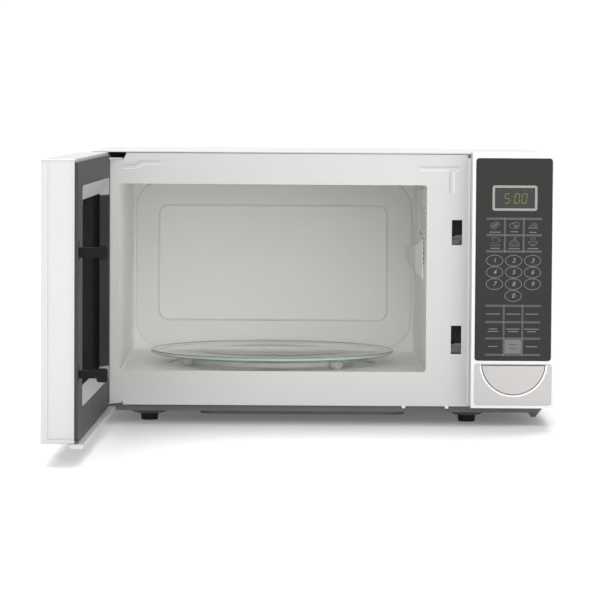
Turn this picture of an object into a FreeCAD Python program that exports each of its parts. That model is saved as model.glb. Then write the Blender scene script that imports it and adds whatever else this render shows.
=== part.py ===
import FreeCAD, Part
import math
import os

# Countertop microwave oven, 20 litre class, door standing open.
# Millimetres. While it is being modelled, x = 0 is the cabinet's left side, y = 0 the face of the
# front plate (the rear is +y) and z = 0 the table. The export moves the origin to the bottom centre.

# ---- driving sizes ----
CAB_W = 450.0
CAB_H = 264.0
CAB_D = 312.0
SHEET = 0.8
BASE_Z = 12.6
SIDE_Z = 18.4
BASE_FRONT_Y = 6.0
BASE_WALL = 8.0
FOOT_R = 8.8
FOOT_H = 6.9
FOOT_Y = 50.0
PLATE_Z = 18.9
PLATE_RIGHT = 369.0

OPEN_L = 29.6
OPEN_R = 326.7
OPEN_BOTTOM = 52.0
OPEN_TOP = 232.8
CAV_D = 293.0
CAV_FLOOR = 49.0
CAV_T = 0.7
CAV_R = 4.0

TRAY_R = 122.5
TRAY_X = 177.5
TRAY_Y = 145.5
TRAY_GLASS = 4.0
ROLLER_R = 5.0
ROLLER_W = 9.0
ROLLER_TRACK = 88.0

DOOR_T = 29.0
DOOR_L = 1.5
DOOR_R = 367.5
DOOR_Z0 = 17.9
DOOR_Z1 = 263.1
DOOR_WALL = 2.5
DOOR_GAP = 4.5
COVER_GAP = 1.5
DOOR_OPEN = 91.6
PIN_X = 12.5
PIN_Y = -11.0
PIN_R = 2.5

PANEL_L = 368.8
PANEL_T = 32.9
PANEL_Z0 = 20.4
PANEL_Z1 = 265.2
PANEL_WALL = 2.5

SLOT_L = 350.8
SLOT_R = 360.8
SLOT_LOW = (69.7, 97.2)
SLOT_HIGH = (175.3, 199.5)

# ---- fits ----
MOVE = 0.4
RUN = 0.05

Vec = FreeCAD.Vector
AXES = {"x": Vec(1, 0, 0), "y": Vec(0, 1, 0), "z": Vec(0, 0, 1)}
nodes = {}


def box(x0, x1, y0, y1, z0, z1):
    return Part.makeBox(x1 - x0, y1 - y0, z1 - z0, Vec(x0, y0, z0))


def rbox(x0, x1, y0, y1, z0, z1, r, axis):
    """Box with its four edges along one axis rounded."""
    solid = box(x0, x1, y0, y1, z0, z1)
    along = [e for e in solid.Edges if e.tangentAt(e.FirstParameter).cross(AXES[axis]).Length < 1e-6]
    return solid.makeFillet(r, along)


def cyl(axis, x, y, z, r, length):
    """Cylinder from a point along an axis."""
    return Part.makeCylinder(r, length, Vec(x, y, z), AXES[axis])


def frame_wire(x0, x1, z0, z1, r, y):
    """Rounded rectangle standing in the plane of one y."""
    face = rbox(x0, x1, y, y + 1, z0, z1, r, "y")
    near = min(face.Faces, key=lambda f: f.CenterOfMass.y)
    return near.OuterWire


def taper(front, back, y0, y1):
    """Solid that runs from one rounded rectangle at y0 to another at y1."""
    return Part.makeLoft([frame_wire(*front, y0), frame_wire(*back, y1)], True, True)


def fuse(first, *rest):
    return first.multiFuse(list(rest)).removeSplitter() if rest else first


def cut(solid, *tools):
    for tool in tools:
        solid = solid.cut(tool)
    return solid


def bar(points, y0, y1):
    """Prism along y whose x, z outline is given."""
    pts = [Vec(x, y0, z) for x, z in points]
    return Part.Face(Part.makePolygon(pts + pts[:1])).extrude(Vec(0, y1 - y0, 0))


def side(points, x0, x1):
    """Prism along x whose y, z outline is given."""
    pts = [Vec(x0, y, z) for y, z in points]
    return Part.Face(Part.makePolygon(pts + pts[:1])).extrude(Vec(x1 - x0, 0, 0))


def flat(points, z0, z1):
    """Prism along z whose x, y outline is given."""
    pts = [Vec(x, y, z0) for x, y in points]
    return Part.Face(Part.makePolygon(pts + pts[:1])).extrude(Vec(0, 0, z1 - z0))


INNER_L = SHEET
INNER_R = CAB_W - SHEET
INNER_TOP = CAB_H - SHEET

# ---- outer cover: one wrapped sheet, roof and both sides, with pressed air slots ----
wrap = rbox(0, CAB_W, 0, CAB_D, -40, CAB_H, 5, "y")
hollow = rbox(INNER_L, INNER_R, -1, CAB_D + 1, -60, INNER_TOP, 5 - SHEET, "y")
cover = cut(wrap, hollow, box(-1, CAB_W + 1, -1, CAB_D + 1, -70, SIDE_Z))
louvres = []
for row in range(12):
    z = 90 + 7 * row
    for y0 in (186, 232):
        louvres.append(box(INNER_R - 1, CAB_W + 1, y0, y0 + 36, z, z + 2.6))
for row in range(6):
    z = 168 + 7 * row
    louvres.append(box(-1, INNER_L + 1, 40, 84, z, z + 2.6))
nodes["outer_cover"] = cut(cover, Part.makeCompound(louvres))

# ---- base plate: folded tray with a pressed pan and a dimple over every foot ----
FOOT_SPOTS = {"front_left": (57.5, FOOT_Y), "front_right": (CAB_W - 80.7, FOOT_Y),
              "rear_left": (57.5, CAB_D - 34), "rear_right": (CAB_W - 80.7, CAB_D - 34)}
BASE_END = CAB_D - SHEET


def keel(inset, y0, y1, top):
    """Tray section whose two ends slope up from the floor to the cabinet's sides."""
    points = [(INNER_L, SIDE_Z), (10, SIDE_Z - 1.8), (30, BASE_Z), (CAB_W - 15.5, BASE_Z),
              (CAB_W - 9, BASE_Z + 4.9), (INNER_R, SIDE_Z)]
    low = [(min(max(x, INNER_L + inset), INNER_R - inset), z + inset) for x, z in points]
    return bar([(INNER_L + inset, top)] + low + [(INNER_R - inset, top)], y0, y1)


tray_out = keel(0, BASE_FRONT_Y, BASE_END, BASE_Z + BASE_WALL)
tray_in = keel(SHEET, BASE_FRONT_Y + SHEET, BASE_END - SHEET, BASE_Z + BASE_WALL + 1)
PAN_DROP = 4.0
pan_out = rbox(108, 307, 18, CAB_D - 22, BASE_Z - PAN_DROP, BASE_Z + 0.1, 14, "z")
pan_in = rbox(108 + SHEET, 307 - SHEET, 18 + SHEET, CAB_D - 22 - SHEET,
              BASE_Z - PAN_DROP + SHEET, BASE_Z + SHEET + 1, 14 - SHEET, "z")
domes = []
dome_hollows = []
for name, (fx, fy) in FOOT_SPOTS.items():
    wide = 29 if "left" in name else 22
    drop = BASE_Z - FOOT_H
    domes.append(Part.makeCone(13, wide, drop, Vec(fx, fy, FOOT_H)))
    dome_hollows.append(Part.makeCone(13 - SHEET, wide - SHEET, drop, Vec(fx, fy, FOOT_H + SHEET)))
dimple = Part.makeCone(2, 8.5, 8, Vec(432.5, 16, BASE_Z - 5))
dimple_hollow = Part.makeCone(1.2, 7.7, 8, Vec(432.5, 16, BASE_Z - 5 + SHEET))
tray = fuse(tray_out, pan_out, dimple, *domes)
tray = cut(tray, tray_in, pan_in, dimple_hollow, *dome_hollows)
vents = [box(330 + 9 * i, 334 + 9 * i, 150, 250, 0, BASE_Z + 4) for i in range(2)]
nodes["base_plate"] = cut(tray, *vents)

# ---- feet: moulded rubber, pushed over the dimples ----
for name, (fx, fy) in FOOT_SPOTS.items():
    foot = Part.makeCone(FOOT_R - 0.8, FOOT_R, FOOT_H, Vec(fx, fy, 0))
    nodes["foot_" + name] = cut(foot, cyl("z", fx, fy, -1, 2.6, 4.0))

# ---- front plate: cavity face with stiffening beads, latch slots and hinge openings ----
face = box(INNER_L, PLATE_RIGHT, 0, SHEET, PLATE_Z, INNER_TOP - 5)
face = fuse(face, box(INNER_L + 5, PLATE_RIGHT, 0, SHEET, PLATE_Z + 10, INNER_TOP),
            box(PLATE_RIGHT - SHEET, PLATE_RIGHT, 0, 15, PLATE_Z + 2, INNER_TOP - 6))
BEAD = 0.7
bead_left = fuse(rbox(32, 48.5, -BEAD, 0.1, 246.8, 251.6, 2.2, "y"),
                 bar([(45, 247.2), (48.5, 247.2), (53.5, 254.6), (50, 254.6)], -BEAD, 0.1),
                 rbox(50, 70.5, -BEAD, 0.1, 250.4, 255.2, 2.2, "y"))
bead_right = fuse(rbox(318.5, 358.6, -BEAD, 0.1, 246.4, 251.2, 2.2, "y"),
                  rbox(348.0, 353.2, -BEAD, 0.1, 224.6, 248.8, 2.2, "y"))
face = fuse(face, bead_left, bead_right)
HINGE_TOP_Z = 256.4
HINGE_LOW_Z = 20.7
HINGE_T = 1.4
face = cut(face, box(PLATE_RIGHT - 2, PLATE_RIGHT + 1, SHEET, 16, 44, 72), rbox(OPEN_L, OPEN_R, -2, 2, OPEN_BOTTOM, OPEN_TOP, 3, "y"),
           box(SLOT_L, SLOT_R, -2, 2, *SLOT_LOW),
           box(SLOT_L, SLOT_R, -2, 2, *SLOT_HIGH),
           bar([(15.5, 300), (15.5, HINGE_TOP_Z), (33.5, HINGE_TOP_Z), (36.4, 262.0), (36.4, 300)], -2, 2),
           box(19.5, 33.5, -2, 2, 0, HINGE_LOW_Z + HINGE_T))
nodes["front_plate"] = face

# ---- oven cavity: drawn steel liner with rounded rear corners, lamp holes and waveguide port ----
ring_in = (OPEN_L - 0.4, OPEN_R + 0.4, CAV_FLOOR, OPEN_TOP + 0.6)
ring_out = (ring_in[0] - CAV_T, ring_in[1] + CAV_T, ring_in[2] - CAV_T, ring_in[3] + CAV_T)
WALL_R = ring_in[1]


def liner_box(ring, back, r):
    """Open-fronted box whose four rear edges are rounded."""
    solid = box(ring[0], ring[1], SHEET, back, ring[2], ring[3])
    rear_edges = [e for e in solid.Edges if abs(e.BoundBox.YMin - back) < 0.01]
    return solid.makeFillet(r, rear_edges)


space = liner_box(ring_in, CAV_D, CAV_R)
skin = liner_box(ring_out, CAV_D + CAV_T, CAV_R + CAV_T)
flange = box(ring_out[0] - 9, ring_out[1] + 9, SHEET, SHEET + CAV_T, ring_out[2] - 9, ring_out[3] + 9)
TRACK_DROP = 2.0
track_in = cyl("z", TRAY_X, TRAY_Y, CAV_FLOOR - TRACK_DROP, 104, TRACK_DROP + 0.1)
track_out = cyl("z", TRAY_X, TRAY_Y, CAV_FLOOR - TRACK_DROP - CAV_T, 104 + CAV_T, TRACK_DROP)
BOSS = 2.0
boss_in = rbox(58.6, 296.3, CAV_D - BOSS, CAV_D + 0.2, 83.3, 202, 9, "y")
boss_gap = rbox(58.6 + CAV_T, 296.3 - CAV_T, CAV_D - BOSS + CAV_T, CAV_D + 2, 83.3 + CAV_T, 202 - CAV_T, 8, "y")
POCKET = 3.0
pocket_out = rbox(WALL_R - 0.1, WALL_R + POCKET + CAV_T, 112, 232, 178, 224, 6, "x")
pocket_in = rbox(WALL_R - 1, WALL_R + POCKET, 113, 231, 179, 223, 5, "x")
liner = fuse(skin, flange, track_out, pocket_out)
liner = cut(liner, space, track_in, pocket_in)
liner = cut(fuse(liner, boss_in), boss_gap)
PORT = (128, 200, 146, 168)
holes = [cyl("x", WALL_R - 2, 84, 208.5 - 5 * i, 1.2, 6) for i in range(12)]
holes += [box(WALL_R - 1, WALL_R + 6, 168, 174, z, z + 9.5) for z in (188, 203.5)]
holes += [cyl("x", OPEN_L - 4, 60 + 6 * i, 196 - 6 * j, 1.6, 6) for i in range(6) for j in range(4)]
holes.append(box(WALL_R - 1, WALL_R + 3, *PORT))
holes.append(cyl("z", TRAY_X, TRAY_Y, CAV_FLOOR - 6, 8, 12))
nodes["oven_cavity"] = liner.cut(Part.makeCompound(holes))

# ---- waveguide and its cover ----
WG_OUT = WALL_R + CAV_T
wg = box(WG_OUT, WG_OUT + 18, 112, 236, 141, 173)
wg = cut(wg, box(WG_OUT - 1, WG_OUT + 18 - SHEET, 112 + SHEET, 236 - SHEET, 141 + SHEET, 173 - SHEET),
         cyl("x", WG_OUT + 10, 212, 157, 9, 12))
nodes["waveguide"] = wg
cover_base = side([(92, 138), (92, 176), (258, 164.5), (258, 150)], WALL_R - 1.0, WALL_R)
cover_top = Part.makeLoft([
    Part.makePolygon([Vec(WALL_R - 1, 92, 138), Vec(WALL_R - 1, 92, 176), Vec(WALL_R - 1, 258, 164.5),
                      Vec(WALL_R - 1, 258, 150), Vec(WALL_R - 1, 92, 138)]),
    Part.makePolygon([Vec(WALL_R - 7, 112, 144), Vec(WALL_R - 7, 112, 170), Vec(WALL_R - 12, 252, 162),
                      Vec(WALL_R - 12, 252, 152.5), Vec(WALL_R - 7, 112, 144)])], True, True)
nodes["waveguide_cover"] = fuse(cover_base, cover_top)

# ---- rear panel with air inlets, exhaust slots and the mains cable opening ----
CORD_X = 400.0
CORD_Z = 45.0
FAN_X = 390.0
FAN_Z = 160.0
rear = fuse(keel(0, CAB_D - SHEET, CAB_D, INNER_TOP - 5), box(INNER_L + 5, INNER_R - 5, CAB_D - SHEET, CAB_D, 100, INNER_TOP))
rear_cuts = [cyl("y", CORD_X, CAB_D - 3, CORD_Z, 6.5, 6)]
for i in range(9):
    dz = -32 + 8 * i
    half = math.sqrt(40.0 ** 2 - dz ** 2)
    for sign in (-1, 1):
        a = FAN_X + sign * 8
        b = FAN_X + sign * half
        rear_cuts.append(box(min(a, b), max(a, b), CAB_D - 3, CAB_D + 2, FAN_Z + dz - 1.5, FAN_Z + dz + 1.5))
for i in range(14):
    x = 70 + 12 * i
    rear_cuts.append(box(x, x + 4, CAB_D - 3, CAB_D + 2, 200, 232))
nodes["rear_panel"] = cut(rear, Part.makeCompound(rear_cuts))

# ---- cable gland: moulded collar held in the rear panel ----
CORD_R = 3.6
gland = fuse(cyl("y", CORD_X, CAB_D - 5, CORD_Z, 6.4, 12),
             cyl("y", CORD_X, CAB_D, CORD_Z, 9.5, 3),
             cyl("y", CORD_X, CAB_D - SHEET - 2.5, CORD_Z, 9.0, 2.5))
nodes["cord_gland"] = cut(gland, cyl("y", CORD_X, CAB_D - 8, CORD_Z, CORD_R, 20))

# ---- hinges: stamped arms behind the front plate, each with a riveted pin ----
def hinge(z, up):
    arm = flat([(20.5, 3), (20.5, -1), (9.5, -16.2), (16.5, -17), (32.5, -1), (32.5, 3)], z, z + HINGE_T)
    eye = cyl("z", PIN_X, PIN_Y, z, 6.2, HINGE_T)
    if up:
        pin = cyl("z", PIN_X, PIN_Y, z, PIN_R, 10)
        leaf = box(20.5, 32.5, SHEET, SHEET + 1.4, z, z + 17)
    else:
        pin = cyl("z", PIN_X, PIN_Y, z - 9, PIN_R, 10)
        leaf = box(20.5, 32.5, SHEET, SHEET + 1.4, z - 12, z + HINGE_T)
    return fuse(arm, eye, pin, leaf)


nodes["upper_hinge"] = hinge(HINGE_TOP_Z, False)
nodes["lower_hinge"] = hinge(HINGE_LOW_Z, True)

# ---- control panel frame: hollow moulding in front of the electronics bay ----
PANEL_R = 448.6
PANEL_Y = -PANEL_T
panel = box(PANEL_L, PANEL_R, PANEL_Y, -0.3, PANEL_Z0, PANEL_Z1)
corner = [e for e in panel.Edges if abs(e.CenterOfMass.x - PANEL_R) < 0.01
          and abs(e.CenterOfMass.z - PANEL_Z1) < 0.01]
panel = panel.makeFillet(7, corner)
skirt = cut(box(PLATE_RIGHT, INNER_R, -0.4, 9, PANEL_Z0 + 0.6, INNER_TOP - 5),
            box(PLATE_RIGHT + 2, INNER_R - 2, -1, 10, PANEL_Z0 + 2.6, INNER_TOP - 7))
panel = cut(panel, box(PANEL_L + PANEL_WALL, PANEL_R - PANEL_WALL, PANEL_Y + PANEL_WALL, 1,
                       PANEL_Z0 + PANEL_WALL, PANEL_Z1 - PANEL_WALL - 3))
panel = fuse(panel, skirt)
OVER = (371.8, 445.4, 65.8, 260.2)
DISP = (390.1, 428.3, 212.3, 231.8)
TRIM = (371.8, 446.0, 23.2, 63.1)
BUTTON_X = 409.3
BUTTON_Z = 63.8
BUTTON_R = 30.0
BUTTON_TOP = 61.4
OVER_T = 0.6
TRIM_T = 1.6


def half_round(r, top, y0, y1):
    """Half-round key outline: a disc cut off flat at the top."""
    disc = cyl("y", BUTTON_X, y0, BUTTON_Z, r, y1 - y0)
    return disc.common(box(BUTTON_X - 60, BUTTON_X + 60, y0 - 1, y1 + 1, 0, top))


panel = cut(panel, rbox(OVER[0], OVER[1], PANEL_Y - 1, PANEL_Y + OVER_T - 0.3, OVER[2], OVER[3], 3, "y"),
            box(DISP[0] - 1, DISP[1] + 1, PANEL_Y - 1, PANEL_Y + 6, DISP[2] - 1, DISP[3] + 1),
            rbox(TRIM[0], TRIM[1], PANEL_Y - 1, PANEL_Y + TRIM_T, TRIM[2], TRIM[3], 3, "y"),
            half_round(BUTTON_R + 3, BUTTON_TOP + 0.8, PANEL_Y - 1, PANEL_Y + 6),
            box(PANEL_L + 0.1, PANEL_L + 6, -1, 12, 44, 72))
for px in (380.0, 437.0):
    for pz in (84.0, 246.0):
        panel = fuse(panel, cyl("y", px, PANEL_Y + PANEL_WALL - 0.2, pz, 3, 6.7))
for dx in (-12.0, 12.0):
    rail = box(BUTTON_X + dx, BUTTON_X + dx + 6, PANEL_Y + 18, PANEL_Y + 20, PANEL_Z0 + 2, BUTTON_TOP)
    panel = fuse(panel, rail)
nodes["control_panel_frame"] = panel

# ---- keypad overlay, display and control board ----
FILM_Y = PANEL_Y - 0.3
film = rbox(OVER[0] + 0.2, OVER[1] - 0.2, FILM_Y, FILM_Y + OVER_T, OVER[2] + 0.2, OVER[3] - 0.2, 3, "y")
nodes["keypad_overlay"] = cut(film, box(DISP[0], DISP[1], FILM_Y - 1, FILM_Y + 2, DISP[2], DISP[3]))
bezel = rbox(DISP[0] - 2.4, DISP[1] + 2.4, FILM_Y - 0.5, FILM_Y, DISP[2] - 2.4, DISP[3] + 2.4, 2.5, "y")
nodes["display_bezel"] = cut(bezel, box(DISP[0], DISP[1], FILM_Y - 1, FILM_Y + 1, DISP[2], DISP[3]))
pane = box(DISP[0] + 0.05, DISP[1] - 0.05, FILM_Y, PANEL_Y + 2, DISP[2] + 0.05, DISP[3] - 0.05)
lugs = box(DISP[0] - 6, DISP[1] + 6, PANEL_Y + PANEL_WALL, PANEL_Y + 3.5, DISP[2] - 5, DISP[3] + 5)
pane = fuse(pane, box(DISP[0] + 0.05, DISP[1] - 0.05, PANEL_Y + 1, PANEL_Y + 3, DISP[2] + 0.05, DISP[3] - 0.05), lugs)
nodes["display_window"] = pane
BOARD_Y = PANEL_Y + PANEL_WALL + 6.5
nodes["display_module"] = fuse(box(DISP[0] - 4, DISP[1] + 4, PANEL_Y + 3.5, BOARD_Y, DISP[2] - 4, DISP[3] + 4))
board = box(374, 444, BOARD_Y, BOARD_Y + 1.6, 72, 256)
relays = [box(378 + 22 * i, 394 + 22 * i, BOARD_Y + 1.5, BOARD_Y + 15, 200, 222) for i in range(3)]
board_trafo = box(396, 428, BOARD_Y + 1.5, BOARD_Y + 20, 150, 182)
nodes["control_board"] = fuse(board, board_trafo, *relays)

# ---- lower trim and the half-round door button that runs in it ----
trim = rbox(TRIM[0] + 0.2, TRIM[1] - 0.2, PANEL_Y, PANEL_Y + TRIM_T, TRIM[2] + 0.2, TRIM[3] - 0.2, 3, "y")
rib = cut(half_round(BUTTON_R + 2.6, BUTTON_TOP, PANEL_Y - 0.7, PANEL_Y + 0.1),
          half_round(BUTTON_R + 0.8, BUTTON_TOP + 5, PANEL_Y - 2, PANEL_Y + 1))
nodes["lower_trim"] = cut(fuse(trim, rib), half_round(BUTTON_R + 0.8, BUTTON_TOP + 0.6, PANEL_Y - 2, PANEL_Y + 3))
PRESS = 4.0
LEVER_Y = 8.0
LEVER_Z = 57.0
cap = half_round(BUTTON_R, BUTTON_TOP - 0.2, PANEL_Y - 1.2, PANEL_Y + 7)
cap = cut(cap, half_round(BUTTON_R - 2, BUTTON_TOP - 2.2, PANEL_Y + 0.8, PANEL_Y + 8))
stem = box(385.5, 389.5, PANEL_Y + 0.5, LEVER_Y - 1.5 - MOVE, 46.5, 49)
guide_pegs = [box(BUTTON_X + dx + 6.4, BUTTON_X + dx + 8.4, PANEL_Y + 0.5, PANEL_Y + 22, 44, 52)
              for dx in (-12.0, 12.0)]
nodes["door_button"] = fuse(cap, stem, *guide_pegs)

# ---- latch board: moulded bracket behind the slots, with hook channels and switch seats ----
HOOK_L = 351.5
HOOK_R = 358.2
BOARD_FRONT = SHEET
latch_plate = box(344, 364.6, 27, 30, 60, 208)
latch_side = box(342, 344.5, BOARD_FRONT, 30, 60, 208)
sills = [box(344, 362, BOARD_FRONT, 13, 60, 62.4), box(344, 364.6, BOARD_FRONT, 27.2, 100, 103),
         box(344, 364.6, BOARD_FRONT, 27.2, 168, 170.6), box(344, 364.6, BOARD_FRONT, 27.2, 203, 206)]
ramps = [side([(24.9, z0), (27.1, z0), (27.1, z0 + 5.5), (24.9, z0 + 4)], HOOK_L - 2, HOOK_R + 2)
         for z0 in (69.8, 175.4)]
nodes["latch_board"] = fuse(latch_plate, latch_side, *sills, *ramps)

# ---- door switches: snap-action bodies screwed on the latch board, each with its own plunger ----
SWITCHES = {"upper": 184.5, "lower": 79.0, "monitor": 120.0}
PLUNGER_TIP = 23.9
for name, z in SWITCHES.items():
    case = box(345, 363, 30, 42, z - 5, z + 5)
    bore = cyl("y", 354, 29.5, z, 1.5 + RUN, 8)
    nodes["switch_" + name] = cut(case, bore)
    seat_hole = cyl("y", 354, 20, z, 1.5 + MOVE, 14)
    nodes["latch_board"] = nodes["latch_board"].cut(seat_hole)
    if name != "monitor":
        nodes["plunger_" + name] = cyl("y", 354, PLUNGER_TIP, z, 1.5, 35 - PLUNGER_TIP)

# ---- release lever: lifts the hooks when the button is pressed ----
barrel = cyl("x", 362.5, LEVER_Y, LEVER_Z, 3.2, 26)
push_arm = box(382, 388.5, LEVER_Y - 1.5, LEVER_Y + 1.5, 46, LEVER_Z)
nose_arm = side([(LEVER_Y, LEVER_Z - 2), (LEVER_Y, LEVER_Z + 2), (22, 65), (24.2, 65), (24.2, 61)], 362.5, 366)
nose = box(HOOK_L, 363, 20, 24.2, 63.2, 65.2)
lever = fuse(barrel, push_arm, nose_arm, nose)
nodes["release_lever"] = cut(lever, cyl("x", 350, LEVER_Y, LEVER_Z, 1.5 + RUN, 60))
pin_lug = box(390, 393, LEVER_Y - 4, 30, LEVER_Z - 5, LEVER_Z + 5)
pin_rod = cyl("x", 344.5, LEVER_Y, LEVER_Z, 1.5, 48)
pin_foot = box(344, 393, 27, 30, 50, 62)
pin_side = box(342, 344.5, BOARD_FRONT, 30, 50, 60.5)
nodes["latch_board"] = fuse(nodes["latch_board"], pin_lug, pin_rod, pin_foot, pin_side)

# ---- high-voltage parts and cooling, on the base plate and the cavity side ----
MAG_X = WG_OUT + 18
yoke = cut(box(MAG_X, MAG_X + 62, 176, 246, 124, 188), box(MAG_X + 1.5, MAG_X + 60.5, 175, 247, 126, 186))
antenna = cyl("x", MAG_X - 8, 212, 157, 6, 24)
anode = cyl("x", MAG_X + 1, 212, 157, 20, 60)
fins = [box(MAG_X + 14 + 5 * i, MAG_X + 14.6 + 5 * i, 178, 244, 125.9, 186.1) for i in range(7)]
filter_box = box(MAG_X + 61.9, MAG_X + 90, 184, 238, 134, 180)
nodes["magnetron"] = fuse(yoke, antenna, anode, filter_box, *fins)

FLOOR_TOP = BASE_Z + SHEET
core = cut(box(352, 434, 64, 104, FLOOR_TOP, 86), box(366, 382, 60, 110, 26, 72), box(404, 420, 60, 110, 26, 72))
coil_a = cut(rbox(366.2, 419.8, 48, 120, 28, 48, 6, "z"), box(382, 404, 64, 104, 20, 60))
coil_b = cut(rbox(366.2, 419.8, 52, 116, 51, 70, 6, "z"), box(382, 404, 64, 104, 20, 80))
nodes["hv_transformer"] = fuse(core, coil_a, coil_b)
can = rbox(352, 386, 176, 262, FLOOR_TOP, 66, 14, "z")
tabs = [box(358 + 14 * i, 364 + 14 * i, 210, 211, 65.9, 76) for i in range(2)]
nodes["hv_capacitor"] = fuse(can, *tabs)
nodes["hv_diode"] = fuse(cyl("y", 397, 190, FLOOR_TOP + 4, 4, 20), cyl("y", 397, 186, FLOOR_TOP + 4, 0.8, 4.5),
                         cyl("y", 397, 209.5, FLOOR_TOP + 4, 0.8, 8))

FAN_R = 39.0
ring_y = 262.0
shroud = box(345, 436, ring_y, ring_y + 3, FAN_Z - 52, FAN_Z + 52)
shroud = fuse(shroud, cyl("y", FAN_X, ring_y, FAN_Z, FAN_R + 4, 20))
shroud = cut(shroud, cyl("y", FAN_X, ring_y - 1, FAN_Z, FAN_R + 1.5, 30))
posts = [box(FAN_X + sx * 46 - 3, FAN_X + sx * 46 + 3, ring_y + 2.9, CAB_D - SHEET, FAN_Z + sz * 46 - 3,
             FAN_Z + sz * 46 + 3) for sx in (-0.9, 0.9) for sz in (-1, 1)]
nodes["fan_shroud"] = fuse(shroud, *posts)
MOTOR_Y = 286.0
stack = rbox(FAN_X - 22, FAN_X + 22, MOTOR_Y, MOTOR_Y + 14, FAN_Z - 22, FAN_Z + 22, 5, "y")
bridge = box(FAN_X - 45, FAN_X + 45, MOTOR_Y + 14, MOTOR_Y + 15.5, FAN_Z - 6, FAN_Z + 6)
ears = [box(FAN_X + sx * 45 - 1.5, FAN_X + sx * 45 + 1.5, MOTOR_Y + 14, CAB_D - SHEET, FAN_Z - 6, FAN_Z + 6)
        for sx in (-1, 1)]
bearing = cyl("y", FAN_X, MOTOR_Y - 6, FAN_Z, 7, 7)
motor = fuse(stack, bridge, bearing, *ears)
nodes["fan_motor"] = cut(motor, cyl("y", FAN_X, MOTOR_Y - 8, FAN_Z, 2 + RUN, 12))
hub = cyl("y", FAN_X, 268, FAN_Z, 9, 11)
shaft = cyl("y", FAN_X, 268, FAN_Z, 2, 21)
blades = []
for i in range(5):
    blade = box(FAN_X - 8, FAN_X + 8, 272.4, 273.6, FAN_Z + 8, FAN_Z + FAN_R - 1)
    blade.rotate(Vec(FAN_X, 273, FAN_Z), Vec(0, 0, 1), 24)
    blade.rotate(Vec(FAN_X, 273, FAN_Z), Vec(0, 1, 0), 72 * i)
    blades.append(blade)
nodes["fan_blades"] = fuse(hub, shaft, *blades)
duct = box(345, 436, 248, ring_y, FAN_Z - 50, FAN_Z + 50)
nodes["air_duct"] = cut(duct, box(346.5, 434.5, 247, ring_y + 1, FAN_Z - 48.5, FAN_Z + 48.5))

lamp_plate = box(WALL_R + POCKET + CAV_T, WALL_R + POCKET + CAV_T + 1.2, 150, 196, 182, 220)
lamp_plate = cut(lamp_plate, box(320, 340, 166, 176, 186, 215))
lamp_arm = box(WALL_R + POCKET + CAV_T, 352, 194, 196, 190, 212)
lamp_arm = fuse(lamp_arm, box(350.5, 352, 150, 196, 190, 212))
socket = cyl("x", 347.5, 171, 201, 7.5, 10)
nodes["lamp_holder"] = fuse(lamp_plate, lamp_arm, socket)
nodes["oven_lamp"] = fuse(cyl("x", 339, 171, 201, 5, 8.5), Part.makeSphere(5, Vec(339, 171, 201)))
filter_plate = box(350, 432, 240, 300, 232, 233.6)
choke = cut(cyl("z", 375, 270, 233.5, 14, 12), cyl("z", 375, 270, 230, 7, 20))
fuse_clip = box(400, 428, 250, 258, 233.5, 242)
stand = box(350, 432, 300, CAB_D - SHEET, 228, 233.6)
nodes["noise_filter"] = fuse(filter_plate, choke, fuse_clip, stand)
ROOF = ring_out[3]
nodes["thermal_cutout"] = fuse(cyl("z", 250, 190, ROOF, 9, 6), box(234, 266, 185, 195, ROOF, ROOF + 1),
                               box(245, 247, 186, 194, ROOF + 5.9, ROOF + 13),
                               box(253, 255, 186, 194, ROOF + 5.9, ROOF + 13))
screws = []
for x, z in ((30, 28), (420, 28), (30, 246), (420, 250), (225, 246)):
    head = Part.makeCone(4.2, 3.4, 2.0, Vec(x, CAB_D, z), Vec(0, 1, 0))
    screws.append(cut(head, box(x - 2.4, x + 2.4, CAB_D + 1, CAB_D + 3, z - 0.5, z + 0.5),
                      box(x - 0.5, x + 0.5, CAB_D + 1, CAB_D + 3, z - 2.4, z + 2.4)))
nodes["cover_screws"] = Part.makeCompound(screws)

# ---- turntable drive: synchronous motor under the floor, coupler through it ----
UNDER = CAV_FLOOR - TRACK_DROP - CAV_T
gearcase = cyl("z", TRAY_X, TRAY_Y, UNDER - 15, 25, 15)
lugs = box(TRAY_X - 34, TRAY_X + 34, TRAY_Y - 6, TRAY_Y + 6, UNDER - 1.5, UNDER)
neck = cyl("z", TRAY_X, TRAY_Y, UNDER - 0.1, 6.5, 0.1 + CAV_T - 0.1)
gearcase = fuse(gearcase, lugs)
nodes["turntable_motor"] = cut(gearcase, cyl("z", TRAY_X, TRAY_Y, UNDER - 12, 3 + RUN, 30))
GLASS_Z = CAV_FLOOR - TRACK_DROP + MOVE + 2 * ROLLER_R + MOVE
shank = cyl("z", TRAY_X, TRAY_Y, UNDER - 10, 3, 12 + CAV_T)
crown = cyl("z", TRAY_X, TRAY_Y, UNDER + MOVE, 6.5, GLASS_Z - UNDER - MOVE)
wings = []
for i in range(3):
    wing = box(TRAY_X, TRAY_X + 16, TRAY_Y - 2.5, TRAY_Y + 2.5, GLASS_Z - 4, GLASS_Z)
    wing.rotate(Vec(TRAY_X, TRAY_Y, 0), Vec(0, 0, 1), 120 * i)
    wings.append(wing)
nodes["turntable_coupler"] = fuse(shank, crown, *wings)

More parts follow.
